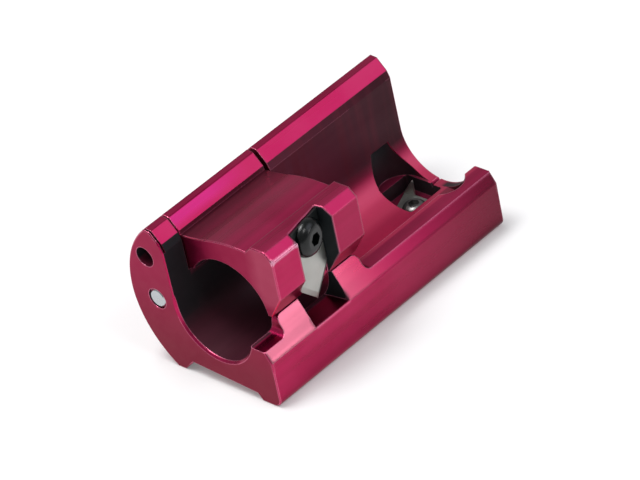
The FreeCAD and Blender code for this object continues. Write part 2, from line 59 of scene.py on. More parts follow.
# ---------------------------------------------------------------- node helpers
class NodeSheet:
    """A small hand for laying out shader nodes in one tree."""

    def __init__(self, tree: Tree) -> None:
        """Keeps the tree that nodes are added to."""
        self.tree = tree

    def add(self, kind: str, **values: object) -> Node:
        """Adds a node and sets its plain properties.

        Args:
            kind: Blender's node class name.
            values: properties of the node, by name.

        Returns:
            The new node.
        """
        node = self.tree.nodes.new(kind)
        for name, value in values.items():
            setattr(node, name, value)
        return node

    def group(self, tree: Tree) -> Node:
        """Places a node group."""
        return self.add("ShaderNodeGroup", node_tree=tree)

    def link(self, out_socket: Socket, in_socket: Socket) -> None:
        """Joins two sockets."""
        self.tree.links.new(out_socket, in_socket)

    def feed(self, socket: Socket, value: object) -> None:
        """Links a socket, or sets a plain value on it.

        Args:
            socket: the input to fill.
            value: a socket or a plain value.
        """
        if isinstance(value, Socket):
            self.link(value, socket)
        else:
            socket.default_value = value

    def math(self, kind: str, a: object, b: object = 0.0, clamp: bool = False) -> Socket:
        """Adds a Math node.

        Args:
            kind: the operation.
            a: first value or socket.
            b: second value or socket.
            clamp: keeps the result between 0 and 1.

        Returns:
            The result's socket.
        """
        node = self.add("ShaderNodeMath", operation=kind, use_clamp=clamp)
        self.feed(node.inputs[0], a)
        self.feed(node.inputs[1], b)
        return node.outputs[0]

    def chain(self, kind: str, values: Sequence[object]) -> Socket:
        """Runs one Math operation through a row of values.

        Args:
            kind: the operation.
            values: two or more values or sockets.

        Returns:
            The result's socket.
        """
        result = values[0]
        for value in values[1:]:
            result = self.math(kind, result, value)
        return result

    def product(self, *values: object) -> Socket:
        """Multiplies values."""
        return self.chain("MULTIPLY", values)

    def total(self, *values: object) -> Socket:
        """Adds values up."""
        return self.chain("ADD", values)

    def top(self, *values: object) -> Socket:
        """Takes the greatest value."""
        return self.chain("MAXIMUM", values)

    def invert(self, value: object) -> Socket:
        """Takes a mask away from 1."""
        return self.math("SUBTRACT", 1.0, value)

    def mix(self, factor: object, a: object, b: object) -> Socket:
        """Mixes two colours.

        Args:
            factor: share of the second colour.
            a: first colour.
            b: second colour.

        Returns:
            The colour's socket.
        """
        node = self.add("ShaderNodeMix", data_type="RGBA")
        self.feed(node.inputs["Factor"], factor)
        self.feed(node.inputs[6], a)
        self.feed(node.inputs[7], b)
        return node.outputs[2]

    def noise(self, vector: Socket, scale: object, detail: float) -> Socket:
        """Adds a noise texture.

        Args:
            vector: where it is looked up.
            scale: its fineness, as a value or a socket.
            detail: how many finer layers it has.

        Returns:
            The value's socket.
        """
        node = self.add("ShaderNodeTexNoise")
        self.feed(node.inputs["Vector"], vector)
        self.feed(node.inputs["Scale"], scale)
        node.inputs["Detail"].default_value = detail
        return node.outputs["Fac"]

    def remap(self, value: object, low: float, high: float, to_low: float = 0.0,
              to_high: float = 1.0) -> Socket:
        """Maps a value from one range on to another, held at its ends.

        Args:
            value: the value to map.
            low: where the range starts.
            high: where it ends.
            to_low: result at its start.
            to_high: result at its end.

        Returns:
            The result's socket.
        """
        node = self.add("ShaderNodeMapRange", clamp=True)
        self.feed(node.inputs["Value"], value)
        for name, number in (("From Min", low), ("From Max", high), ("To Min", to_low), ("To Max", to_high)):
            node.inputs[name].default_value = number
        return node.outputs["Result"]

    def split(self, vector: Socket) -> Tuple[Socket, Socket, Socket]:
        """Takes a vector apart.

        Args:
            vector: the vector's socket.

        Returns:
            The sockets of x, y and z.
        """
        node = self.add("ShaderNodeSeparateXYZ")
        self.link(vector, node.inputs[0])
        return node.outputs[0], node.outputs[1], node.outputs[2]

    def join(self, x: Socket, y: Socket, z: Socket) -> Socket:
        """Makes a vector of three values.

        Args:
            x: socket of its x.
            y: socket of its y.
            z: socket of its z.

        Returns:
            The vector's socket.
        """
        node = self.add("ShaderNodeCombineXYZ")
        for place, value in enumerate((x, y, z)):
            self.link(value, node.inputs[place])
        return node.outputs[0]

    def bump(self, height: Socket, strength: float, depth: float) -> Node:
        """Adds a Bump node.

        Args:
            height: the height's socket.
            strength: its strength.
            depth: its distance in metres.

        Returns:
            The node.
        """
        node = self.add("ShaderNodeBump")
        node.inputs["Strength"].default_value = strength
        node.inputs["Distance"].default_value = depth
        self.link(height, node.inputs["Height"])
        return node


def rgba(colour: Colour) -> Tuple[float, float, float, float]:
    """Colour with full alpha."""
    return (colour[0], colour[1], colour[2], 1.0)


def new_group(name: str, sockets: Sequence[Tuple[str, str, str, float]]) -> Tree:
    """Makes an empty node group with named sockets.

    Args:
        name: the group's name.
        sockets: name, direction, type and default of each socket.

    Returns:
        The group's tree.
    """
    tree = bpy.data.node_groups.new(name, "ShaderNodeTree")
    for label, way, kind, default in sockets:
        made = tree.interface.new_socket(name=label, in_out=way, socket_type=kind)
        if kind == "NodeSocketFloat":
            made.default_value = default
    return tree


def new_material(name: str) -> Tuple[bpy.types.Material, NodeSheet, Node]:
    """Starts a material with one Principled shader.

    Args:
        name: the material's name.

    Returns:
        The material, a sheet for its tree and its Principled node.
    """
    material = bpy.data.materials.new(name)
    material.use_nodes = True
    sheet = NodeSheet(material.node_tree)
    shader = material.node_tree.nodes["Principled BSDF"]
    return material, sheet, shader


# ---------------------------------------------------------------- which cut made a face
class Measure(Enum):
    """What a band is measured along: a length in mm, or how far a face looks one way, from -1 to 1."""

    X = "along the bore"
    Y = "across, to the back"
    Z = "up"
    BORE = "away from the bore's axis"
    HINGE = "away from the hinge's axis"
    FACES_Y = "face looks to the back"
    FACES_Z = "face looks up"
    FACES_ENDS = "face looks along the bore, either way"
    FACES_OUT = "face looks away from the bore's axis"


LENGTHS = (Measure.X, Measure.Y, Measure.Z, Measure.BORE, Measure.HINGE)


@dataclass(frozen=True)
class Band:
    """A soft step along a measure: least before its start, most from where it is full."""

    measure: Measure
    start: float
    full: float
    least: float = 0.0
    most: float = 1.0


Bands = Tuple[Band, ...]


class Cut(Enum):
    """The masks that the group of cut faces puts out."""

    ENDS = "Ends"
    TALL_WALL = "Tall Wall"
    KNIFE_SEAT = "Knife Seat"
    INWARD = "Inward"
    CLOSED_BORE = "Closed Bore"
    POCKET = "Pocket"
    LANDING = "Landing"
    PIPE_BED = "Pipe Bed"
    FAR_SIDE = "Far Side"
    LOW = "Low"
    NOSE = "Nose"
    NOSE_CORNER = "Nose Corner"
    ARCH_LEE = "Arch Lee"
    ARCH_ROOT = "Arch Root"
    POCKET_RIM = "Pocket Rim"
    SIDE_CREASE = "Side Crease"
    BED_BACK = "Bed Back"
    FAR_END = "Far End"
    WALL_FOOT = "Wall Foot"
    RIDGE_FRONT = "Ridge Front"
    PIN_HOLE = "Pin Hole"
    BORED_MARKS = "Bored Marks"


END_FACE = Band(Measure.FACES_ENDS, 0.90, 0.97)
ROUND_FACE = Band(Measure.FACES_ENDS, 0.55, 0.25)
UPRIGHT_INNER_FACE = Band(Measure.FACES_Y, -0.78, -0.93)
LOOKING_IN = Band(Measure.FACES_OUT, 0.45, 0.15)
LOOKING_OUT = Band(Measure.FACES_OUT, 0.15, 0.45)
BEHIND_BORE = Band(Measure.Y, 0.0, 3.0)
UNDER_JAW = Band(Measure.X, -2.0, -7.0)
PAST_JAW = Band(Measure.X, -7.0, -2.0)
BORE_SKIN: Bands = (Band(Measure.BORE, 12.9, 12.3), LOOKING_IN, ROUND_FACE)
NOSE_BLOCK: Bands = (Band(Measure.Z, 22.0, 24.0), Band(Measure.Y, -12.0, -16.0))
# Where the landings' painted highlight grows towards the front end.
HIGHLIGHT_TO_FRONT = Band(Measure.X, 8.0, -24.0)

# Each mask is the greatest of one or more rows, and the bands of a row are multiplied.
CUT_BANDS: Dict[Cut, Sequence[Bands]] = {
    Cut.ENDS: [(END_FACE,)],
    Cut.TALL_WALL: [(UPRIGHT_INNER_FACE, BEHIND_BORE, Band(Measure.Z, 11.0, 17.0))],
    Cut.KNIFE_SEAT: [(Band(Measure.Y, -11.0, -13.0), END_FACE,
                      Band(Measure.X, -31.0, -30.0), Band(Measure.X, -6.0, -7.0))],
    Cut.INWARD: [(LOOKING_IN,)],
    Cut.CLOSED_BORE: [BORE_SKIN + (Band(Measure.FACES_Z, 0.05, 0.60, least=1.0, most=0.93), UNDER_JAW),
                      (UPRIGHT_INNER_FACE, BEHIND_BORE, Band(Measure.X, -33.1, -33.4))],
    Cut.LANDING: [(Band(Measure.FACES_Z, 0.25, 0.40), Band(Measure.FACES_Y, -0.60, -0.75),
                   Band(Measure.Z, 22.0, 21.0), Band(Measure.Y, -10.0, -12.0),
                   HIGHLIGHT_TO_FRONT, HIGHLIGHT_TO_FRONT)],
    Cut.PIPE_BED: [BORE_SKIN + (Band(Measure.FACES_Z, 0.30, 0.65), PAST_JAW)],
    Cut.FAR_SIDE: [(Band(Measure.FACES_Y, -0.60, -0.80), Band(Measure.Y, -12.0, -15.0),
                    Band(Measure.X, -14.0, 40.0)),
                   NOSE_BLOCK + (Band(Measure.X, -18.0, -14.0, most=0.35),
                                 Band(Measure.FACES_Y, -0.80, -0.95))],
    Cut.LOW: [(Band(Measure.Z, 27.0, 6.0),)],
    Cut.NOSE: [NOSE_BLOCK],
    Cut.NOSE_CORNER: [(Band(Measure.Y, -20.3, -20.9), Band(Measure.X, -21.0, -22.0),
                       Band(Measure.Z, 35.5, 36.0))],
    Cut.ARCH_LEE: [(Band(Measure.FACES_Z, 0.45, 0.65), Band(Measure.X, -3.9, -4.1),
                    Band(Measure.Y, -1.0, 5.5), Band(Measure.Y, 8.6, 8.3), LOOKING_OUT)],
    Cut.ARCH_ROOT: [(Band(Measure.Y, 7.3, 7.7), Band(Measure.Y, 9.3, 8.9), Band(Measure.X, -3.5, -4.5))],
    Cut.POCKET_RIM: [(Band(Measure.X, 25.0, 25.1), Band(Measure.X, 37.9, 37.8),
                      Band(Measure.Y, -13.2, -12.8), Band(Measure.Y, 9.0, 8.0))],
    Cut.SIDE_CREASE: [(Band(Measure.Y, -19.6, -19.9), Band(Measure.Z, 9.5, 10.5),
                       Band(Measure.Z, 15.5, 14.5))],
    Cut.BED_BACK: [(Band(Measure.FACES_Y, -0.10, -0.62),)],
    Cut.FAR_END: [(Band(Measure.X, -4.0, 36.0),)],
    Cut.WALL_FOOT: [(Band(Measure.Z, 37.0, 25.0),)],
    Cut.RIDGE_FRONT: [(Band(Measure.FACES_Z, 0.50, 0.60), Band(Measure.FACES_Y, -0.62, -0.72),
                       Band(Measure.Y, 6.0, 7.0), Band(Measure.Z, 35.8, 37.2),
                       Band(Measure.X, -8.0, -20.0), Band(Measure.X, -33.4, -33.2))],
    Cut.PIN_HOLE: [(Band(Measure.HINGE, 2.75, 2.60), Band(Measure.X, -25.0, -26.0), ROUND_FACE)],
}
POCKET_WALLS: Sequence[Bands] = [
    (Band(Measure.BORE, 11.66, 11.72), Band(Measure.X, 37.6, 37.4)),
    (Band(Measure.FACES_Y, 0.20, 0.45), Band(Measure.BORE, 12.5, 12.2))]
POCKET_REACH: Bands = (Band(Measure.Z, 20.0, 17.5), LOOKING_IN, Band(Measure.X, 25.3, 25.5))
POCKET_FLOOR = Band(Measure.FACES_Z, 0.6, 0.9)
SUNK_FLOOR = Band(Measure.Z, 14.9, 14.5, least=1.0, most=0.45)
UNDER_LIP: Bands = BORE_SKIN + (
    Band(Measure.Y, -4.5, -5.8), Band(Measure.X, 37.4, 37.6),
    Band(Measure.X, 39.6, 39.0, least=0.4), Band(Measure.Z, 14.0, 13.5))


def axis_of(node: str) -> Pair:
    """Finds the axis of a round piece that lies along X.

    Args:
        node: the piece's node.

    Returns:
        The axis's y and z.
    """
    low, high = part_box(node)
    return ((low[1] + high[1]) / 2, (low[2] + high[2]) / 2)


def mount_axis(name: str) -> Pair:
    """Finds the axis of a mount that lies along X.

    Args:
        name: the mount's name.

    Returns:
        The axis's y and z.
    """
    place = next(mount["pos_m"] for mount in frame["record"]["mounts"] if mount["name"] == name)
    return (place[1], place[2])


@dataclass(frozen=True)
class CutPlaces:
    """Axes and sizes that the cut faces are told from."""

    bore_axis: Pair = mount_axis("pipe_channel")
    hinge_axis: Pair = axis_of("hinge_pin")
    mark_stretch: float = 0.06
    mark_scale: float = 420.0
    mark_detail: float = 5.0
    mark_range: Pair = (0.46, 0.70)


class CutFaces:
    """Node group that tells which cut made a face from its place and the way it looks."""

    def __init__(self, places: CutPlaces) -> None:
        """Lays the group out, with one mask from 0 to 1 for each cut.

        Args:
            places: axes and sizes of the tool.
        """
        self.places = places
        self.tree = new_group("cut_faces", [(cut.value, "OUTPUT", "NodeSocketFloat", 0.0) for cut in Cut])
        self.sheet = NodeSheet(self.tree)
        self.measures = self._measures()
        self.bands: Dict[Band, Socket] = {}
        masks = {cut: self._mask(*rows) for cut, rows in CUT_BANDS.items()}
        masks[Cut.POCKET] = self._pocket()
        masks[Cut.BORED_MARKS] = self._marks()
        outlet = self.sheet.add("NodeGroupOutput")
        for cut, mask in masks.items():
            self.sheet.link(mask, outlet.inputs[cut.value])

    def _distance(self, across: Socket, up: Socket) -> Socket:
        """Length of a step across and up."""
        square = self.sheet.total(self.sheet.product(across, across), self.sheet.product(up, up))
        return self.sheet.math("SQRT", square)

    def _measures(self) -> Dict[Measure, Socket]:
        """Finds every measure.

        Returns:
            The socket of each measure.
        """
        sheet = self.sheet
        place = sheet.add("ShaderNodeTexCoord")
        looks_x, looks_y, looks_z = sheet.split(place.outputs["Normal"])
        x, y, z = sheet.split(place.outputs["Object"])
        across = sheet.math("SUBTRACT", y, self.places.bore_axis[0])
        up = sheet.math("SUBTRACT", z, self.places.bore_axis[1])
        reach = self._distance(across, up)
        outward = sheet.total(sheet.product(looks_y, across), sheet.product(looks_z, up))
        aside = sheet.math("SUBTRACT", y, self.places.hinge_axis[0])
        above = sheet.math("SUBTRACT", z, self.places.hinge_axis[1])
        return {
            Measure.X: x,
            Measure.Y: y,
            Measure.Z: z,
            Measure.BORE: reach,
            Measure.HINGE: self._distance(aside, above),
            Measure.FACES_Y: looks_y,
            Measure.FACES_Z: looks_z,
            Measure.FACES_ENDS: sheet.math("ABSOLUTE", looks_x),
            Measure.FACES_OUT: sheet.math("DIVIDE", outward, reach),
        }

    def _band(self, band: Band) -> Socket:
        """Lays out a band, or finds it where it is there already.

        Args:
            band: the band.

        Returns:
            The band's socket.
        """
        if band not in self.bands:
            unit = MM if band.measure in LENGTHS else 1.0
            self.bands[band] = self.sheet.remap(self.measures[band.measure], band.start * unit,
                                                band.full * unit, band.least, band.most)
        return self.bands[band]

    def _mask(self, *rows: Bands) -> Socket:
        """Multiplies the bands of each row and takes the greatest row.

        Args:
            rows: rows of bands.

        Returns:
            The mask's socket.
        """
        products = [self.sheet.product(*(self._band(band) for band in row)) for row in rows]
        return self.sheet.top(*products)

    def _pocket(self) -> Socket:
        """Where the pocket gets painted shade: its walls, and the part of its lip that lies in shade.

        Returns:
            The mask's socket.
        """
        off_floor = self.sheet.invert(self._mask((POCKET_FLOOR, SUNK_FLOOR)))
        walls = self.sheet.product(self._mask(*POCKET_WALLS), self._mask(POCKET_REACH), off_floor)
        return self.sheet.top(walls, self._mask(UNDER_LIP))

    def _marks(self) -> Socket:
        """Upright marks that boring left on the tall wall.

        Returns:
            The mask's socket.
        """
        y, z = (self.sheet.product(self.measures[axis], self.places.mark_stretch)
                for axis in (Measure.Y, Measure.Z))
        arcs = self.sheet.join(self.measures[Measure.X], y, z)
        marks = self.sheet.noise(arcs, self.places.mark_scale, self.places.mark_detail)
        return self.sheet.remap(marks, *self.places.mark_range)


# ---------------------------------------------------------------- effects that finishes share
class EffectGroups:
    """Shader node groups that several finishes share. Each is built once."""

    LINE_DETAIL: float = 4.0
    BROAD_SHARE: float = 0.22
    STREAK_RANGE: Pair = (0.35, 0.65)
    RECESS_DISTANCE: float = 24.0 * MM
    RECESS_RANGE: Pair = (0.06, 0.32)
    RECESS_SAMPLES: int = 12
    EDGE_RANGE: Pair = (0.999, 0.94)
    EDGE_SAMPLES: int = 8
    PATCH_DETAIL: float = 5.0
    PATCH_RANGE: Pair = (0.40, 0.62)
    SPECK_SCALE: float = 1900.0
    SPECK_RANGE: Pair = (0.66, 0.74)
    PLAIN_DETAIL: float = 2.0

    def __init__(self) -> None:
        """Builds the groups."""
        self.brushed = self._brushed()
        self.wear = self._wear()
        self.recess = self._recess()
        self.edge = self._edge()
        self.faces = CutFaces(CutPlaces()).tree

    def _brushed(self) -> Tree:
        """Fine machining lines along X: a height and a roughness mask.

        Returns:
            The group's tree.
        """
        tree = new_group("brushed_lines", [
            ("Stretch", "INPUT", "NodeSocketFloat", 0.03),
            ("Fineness", "INPUT", "NodeSocketFloat", 1500.0),
            ("Height", "OUTPUT", "NodeSocketFloat", 0.0),
            ("Streak", "OUTPUT", "NodeSocketFloat", 0.0)])
        sheet = NodeSheet(tree)
        inlet = sheet.add("NodeGroupInput")
        outlet = sheet.add("NodeGroupOutput")
        place = sheet.add("ShaderNodeTexCoord")
        x, y, z = sheet.split(place.outputs["Object"])
        drawn = sheet.join(sheet.product(x, inlet.outputs["Stretch"]), y, z)
        fineness = inlet.outputs["Fineness"]
        lines = sheet.noise(drawn, fineness, self.LINE_DETAIL)
        broad = sheet.noise(drawn, sheet.product(fineness, self.BROAD_SHARE), self.PLAIN_DETAIL)
        sheet.link(lines, outlet.inputs["Height"])
        sheet.link(sheet.remap(broad, *self.STREAK_RANGE), outlet.inputs["Streak"])
        return tree

    def _recess(self) -> Tree:
        """Painted shade in recesses, from ambient occlusion: 1 in the open, 0 deep inside.

        Returns:
            The group's tree.
        """
        tree = new_group("recess_mask", [("Open", "OUTPUT", "NodeSocketFloat", 1.0)])
        sheet = NodeSheet(tree)
        outlet = sheet.add("NodeGroupOutput")
        recess_shade = sheet.add("ShaderNodeAmbientOcclusion", samples=self.RECESS_SAMPLES)
        recess_shade.inputs["Distance"].default_value = self.RECESS_DISTANCE
        sheet.link(sheet.remap(recess_shade.outputs["AO"], *self.RECESS_RANGE), outlet.inputs["Open"])
        return tree

    def _edge(self) -> Tree:
        """Sharp edges, for painted edge highlights: 1 along sharp edges, 0 on the faces, and the softened
        normal.

        Returns:
            The group's tree.
        """
        tree = new_group("edge_highlight_mask", [
            ("Width", "INPUT", "NodeSocketFloat", 0.40 * MM),
            ("Edge", "OUTPUT", "NodeSocketFloat", 0.0),
            ("Normal", "OUTPUT", "NodeSocketVector", 0.0)])
        sheet = NodeSheet(tree)
        inlet = sheet.add("NodeGroupInput")
        outlet = sheet.add("NodeGroupOutput")
        soft = sheet.add("ShaderNodeBevel", samples=self.EDGE_SAMPLES)
        sheet.link(inlet.outputs["Width"], soft.inputs["Radius"])
        plain = sheet.add("ShaderNodeNewGeometry")
        same = sheet.add("ShaderNodeVectorMath", operation="DOT_PRODUCT")
        sheet.link(soft.outputs[0], same.inputs[0])
        sheet.link(plain.outputs["Normal"], same.inputs[1])
        sheet.link(sheet.remap(same.outputs["Value"], *self.EDGE_RANGE), outlet.inputs["Edge"])
        sheet.link(soft.outputs[0], outlet.inputs["Normal"])
        return tree

    def _wear(self) -> Tree:
        """Handling marks: a soft patchy mask and small specks.

        Returns:
            The group's tree.
        """
        tree = new_group("handling_marks", [
            ("Patch Size", "INPUT", "NodeSocketFloat", 60.0),
            ("Patches", "OUTPUT", "NodeSocketFloat", 0.0),
            ("Specks", "OUTPUT", "NodeSocketFloat", 0.0)])
        sheet = NodeSheet(tree)
        inlet = sheet.add("NodeGroupInput")
        outlet = sheet.add("NodeGroupOutput")
        place = sheet.add("ShaderNodeTexCoord").outputs["Object"]
        patch = sheet.noise(place, inlet.outputs["Patch Size"], self.PATCH_DETAIL)
        speck = sheet.noise(place, self.SPECK_SCALE, self.PLAIN_DETAIL)
        sheet.link(sheet.remap(patch, *self.PATCH_RANGE), outlet.inputs["Patches"])
        sheet.link(sheet.remap(speck, *self.SPECK_RANGE), outlet.inputs["Specks"])
        return tree


# ---------------------------------------------------------------- finishes
@dataclass(frozen=True)
class Anodised:
    """Dyed, lightly brushed anodised aluminium. Each cut has its own tone and polish; many of these tones
    are painted shade and painted highlights.
    """

    name: str = "red_anodised"
    base: Colour = (0.46, 0.0065, 0.080)
    deep: Colour = (0.38, 0.0055, 0.061)
    # Near-black painted shade for recesses, the knife seat, the bore under the jaw, the pocket and the pin
    # hole.
    recess_shade: Colour = (0.007, 0.011, 0.013)
    # Painted shade on the tall wall's inner face: a dark tone, lighter at its foot and darker towards the
    # far end; wall_mark is the tone of its boring marks.
    wall: Colour = (0.085, 0.009, 0.024)
    wall_shade_foot: Colour = (0.170, 0.030, 0.062)
    wall_shade_far: Colour = (0.045, 0.004, 0.012)
    wall_mark: Colour = (0.112, 0.011, 0.026)
    # Painted light on the bed of the bore past the jaw: a shaded tone, and a painted highlight where the bed
    # faces the front.
    bed_painted_light: Colour = (0.33, 0.014, 0.056)
    bed_painted_highlight: Colour = (0.62, 0.042, 0.125)
    # Painted shade: the front side darker towards the far end, and a little on the far part of the nose.
    far_side_shade: Colour = (0.145, 0.004, 0.023)
    # Painted highlight: magenta on the front of the jaw's ridge.
    ridge_highlight: Colour = (0.50, 0.014, 0.140)
    # End faces: painted shade makes them darker towards the bottom; cut_end_high is their tone at the top.
    cut_end_shaded_low: Colour = (0.20, 0.010, 0.030)
    cut_end_high: Colour = (0.31, 0.008, 0.054)
    cheek: Colour = (0.40, 0.050, 0.105)
    # Painted shade: a darker, duller band on the jaw's arch beside the ridge.
    arch_shade: Colour = (0.26, 0.044, 0.085)
    # Painted highlight, nearly white, along the nose's corner.
    glint: Colour = (1.0, 0.50, 0.68)
    # Painted highlight on the sloping landings: a paler, whiter pink, strongest towards the front end.
    landing_highlight: Colour = (0.54, 0.12, 0.190)
    pale: Colour = (0.60, 0.050, 0.150)
    # Painted highlight along sharp edges: a pale pink.
    edge_highlight: Colour = (0.84, 0.26, 0.40)
    patch_share: float = 0.22
    end_share: float = 0.90
    inside_shade_share: float = 0.94
    recess_shade_at_ends: float = 0.3
    marks_at_far_end: float = 0.4
    edge_share: float = 0.60
    corner_share: float = 0.95
    rim_without_highlight: float = 0.95
    crease_without_highlight: float = 0.6
    nose_without_highlight: float = 0.35
    edge_width: float = 0.36 * MM
    nose_edge_width: float = 0.75 * MM
    corner_extra_width: float = 1.1 * MM
    crease_extra_width: float = 0.9 * MM
    dull_wall: float = 0.75
    dull_cut: float = 0.60
    dull_oil: float = 0.80
    roughness: float = 0.27
    streak_polish: float = 0.03
    streak_rough: float = 0.05
    patch_rough: float = 0.03
    end_rough: float = 0.12
    wall_rough: float = 0.25
    bed_rough: float = 0.15
    oil_rough: float = 0.20
    coat: float = 0.13
    coat_roughness: float = 0.12
    coat_ior: float = 1.7
    specular: float = 0.3
    line_strength: float = 0.10
    line_depth: float = 0.02 * MM

    def _dye_and_painted_light(self, sheet: NodeSheet, face: Dict[Cut, Socket], streak: Socket, patches: Socket) -> Socket:
        """Lays the dye and the tones of the open cuts over one another; the streaks and handling patches are
        the dye's own, and many cut tones are painted shade and painted highlights.

        Args:
            sheet: the material's nodes.
            face: mask of each cut.
            streak: mask of the machining lines.
            patches: mask of the handled places.

        Returns:
            The colour's socket.
        """
        tone = sheet.mix(streak, rgba(self.deep), rgba(self.base))
        tone = sheet.mix(sheet.product(patches, self.patch_share), tone, rgba(self.pale))
        # End faces darker towards the bottom in painted shade; the nose's end faces take the cheek tone.
        sawn = sheet.mix(face[Cut.LOW], rgba(self.cut_end_high), rgba(self.cut_end_shaded_low))
        sawn = sheet.mix(face[Cut.NOSE], sawn, rgba(self.cheek))
        tone = sheet.mix(sheet.product(face[Cut.ENDS], self.end_share), tone, sawn)
        # Painted shade on the arch and the far side, painted highlights on the landings and the ridge's
        # front.
        for cut, colour in ((Cut.ARCH_LEE, self.arch_shade), (Cut.LANDING, self.landing_highlight),
                            (Cut.RIDGE_FRONT, self.ridge_highlight), (Cut.FAR_SIDE, self.far_side_shade)):
            tone = sheet.mix(face[cut], tone, rgba(colour))
        # Painted shade on the bed of the bore past the jaw, with a painted highlight where it faces the
        # front.
        bed_painted_light = sheet.mix(face[Cut.BED_BACK], rgba(self.bed_painted_light), rgba(self.bed_painted_highlight))
        return sheet.mix(face[Cut.PIPE_BED], tone, bed_painted_light)

    def _painted_shade(self, sheet: NodeSheet, face: Dict[Cut, Socket], is_open: Socket, tone: Socket) -> Socket:
        """Lays painted shade over the dye: a dark tone on the tall wall, and near-black in recesses, in the
        knife seat, inside the bore under the jaw, in the pocket and in the pin hole.

        Args:
            sheet: the material's nodes.
            face: mask of each cut.
            is_open: 1 in the open and 0 in deep recesses.
            tone: the colour so far.

        Returns:
            The colour's socket.
        """
        # Painted shade: near-black where ambient occlusion finds a recess facing in, weaker on the end faces
        # and none on the tall wall, and in the knife seat.
        shaded_recess = sheet.product(sheet.invert(is_open), face[Cut.INWARD], sheet.invert(face[Cut.TALL_WALL]),
                             sheet.remap(face[Cut.ENDS], 0.0, 1.0, 1.0, self.recess_shade_at_ends))
        tone = sheet.mix(sheet.top(shaded_recess, face[Cut.KNIFE_SEAT]), tone, rgba(self.recess_shade))
        # Painted shade on the tall wall, lighter at its foot and darker towards the far end, with its boring
        # marks over it.
        wall = sheet.mix(face[Cut.WALL_FOOT], rgba(self.wall), rgba(self.wall_shade_foot))
        wall = sheet.mix(face[Cut.FAR_END], wall, rgba(self.wall_shade_far))
        fading = sheet.remap(face[Cut.FAR_END], 0.0, 1.0, 1.0, self.marks_at_far_end)
        wall = sheet.mix(sheet.product(face[Cut.BORED_MARKS], fading), wall, rgba(self.wall_mark))
        tone = sheet.mix(face[Cut.TALL_WALL], tone, wall)
        # Painted shade: near-black inside the bore under the jaw, in the pocket and in the pin hole.
        inside = sheet.top(face[Cut.CLOSED_BORE], face[Cut.POCKET])
        in_shade = sheet.top(sheet.product(inside, self.inside_shade_share), face[Cut.PIN_HOLE])
        return sheet.mix(in_shade, tone, rgba(self.recess_shade))

    def _edge_highlights(self, sheet: NodeSheet, face: Dict[Cut, Socket], edge: Socket, tone: Socket) -> Socket:
        """Lays painted highlights along the sharp edges over the rest, nearly white at the nose's corner.

        Args:
            sheet: the material's nodes.
            face: mask of each cut.
            edge: mask of the sharp edges.
            tone: the colour so far.

        Returns:
            The colour's socket.
        """
        highlighted = sheet.mix(face[Cut.NOSE_CORNER], rgba(self.edge_highlight), rgba(self.glint))
        highlight_share = sheet.remap(face[Cut.NOSE_CORNER], 0.0, 1.0, self.edge_share, self.corner_share)
        lower_nose = sheet.math("SUBTRACT", face[Cut.NOSE], face[Cut.NOSE_CORNER], clamp=True)
        # Painted edge highlights are kept off the pocket's rim, the side's crease, the arch's root and the
        # lower nose.
        kept = sheet.top(sheet.product(face[Cut.POCKET_RIM], self.rim_without_highlight),
                         sheet.product(face[Cut.SIDE_CREASE], self.crease_without_highlight),
                         face[Cut.ARCH_ROOT],
                         sheet.product(lower_nose, self.nose_without_highlight))
        return sheet.mix(sheet.product(edge, highlight_share, sheet.invert(kept)), tone, highlighted)

    def _edge(self, sheet: NodeSheet, face: Dict[Cut, Socket], groups: EffectGroups) -> Node:
        """Places the edge mask for painted highlights, broader on the nose, at its corner and along the
        side's crease.

        Args:
            sheet: the material's nodes.
            face: mask of each cut.
            groups: shared effect groups.

        Returns:
            The group's node.
        """
        edge = sheet.group(groups.edge)
        width = sheet.total(sheet.remap(face[Cut.NOSE], 0.0, 1.0, self.edge_width, self.nose_edge_width),
                            sheet.product(face[Cut.NOSE_CORNER], self.corner_extra_width),
                            sheet.product(face[Cut.SIDE_CREASE], self.crease_extra_width))
        sheet.link(width, edge.inputs["Width"])
        return edge

    def _polish(self, sheet: NodeSheet, shader: Node, face: Dict[Cut, Socket], streak: Socket,
                patches: Socket) -> None:
        """Sets how metallic, rough and coated each cut is.

        Args:
            sheet: the material's nodes.
            shader: the material's shader.
            face: mask of each cut.
            streak: mask of the machining lines.
            patches: mask of the handled places.
        """
        in_shade = sheet.top(face[Cut.CLOSED_BORE], face[Cut.POCKET], face[Cut.KNIFE_SEAT], face[Cut.PIN_HOLE])
        cut = sheet.top(sheet.product(face[Cut.TALL_WALL], self.dull_wall), face[Cut.PIPE_BED])
        dull = sheet.top(sheet.product(in_shade, self.dull_oil), sheet.product(cut, self.dull_cut))
        sheet.link(sheet.invert(dull), shader.inputs["Metallic"])
        rough = sheet.remap(streak, 0.0, 1.0, self.roughness - self.streak_polish,
                            self.roughness + self.streak_rough)
        for mask, extra in ((patches, self.patch_rough), (face[Cut.ENDS], self.end_rough),
                            (face[Cut.TALL_WALL], self.wall_rough), (face[Cut.PIPE_BED], self.bed_rough),
                            (in_shade, self.oil_rough)):
            rough = sheet.total(rough, sheet.product(mask, extra))
        sheet.link(rough, shader.inputs["Roughness"])
        bare = sheet.top(face[Cut.ENDS], in_shade, face[Cut.TALL_WALL])
        sheet.link(sheet.remap(bare, 0.0, 1.0, self.coat, 0.0), shader.inputs["Coat Weight"])
        shader.inputs["Coat Roughness"].default_value = self.coat_roughness
        shader.inputs["Coat IOR"].default_value = self.coat_ior
        shader.inputs["Specular IOR Level"].default_value = self.specular

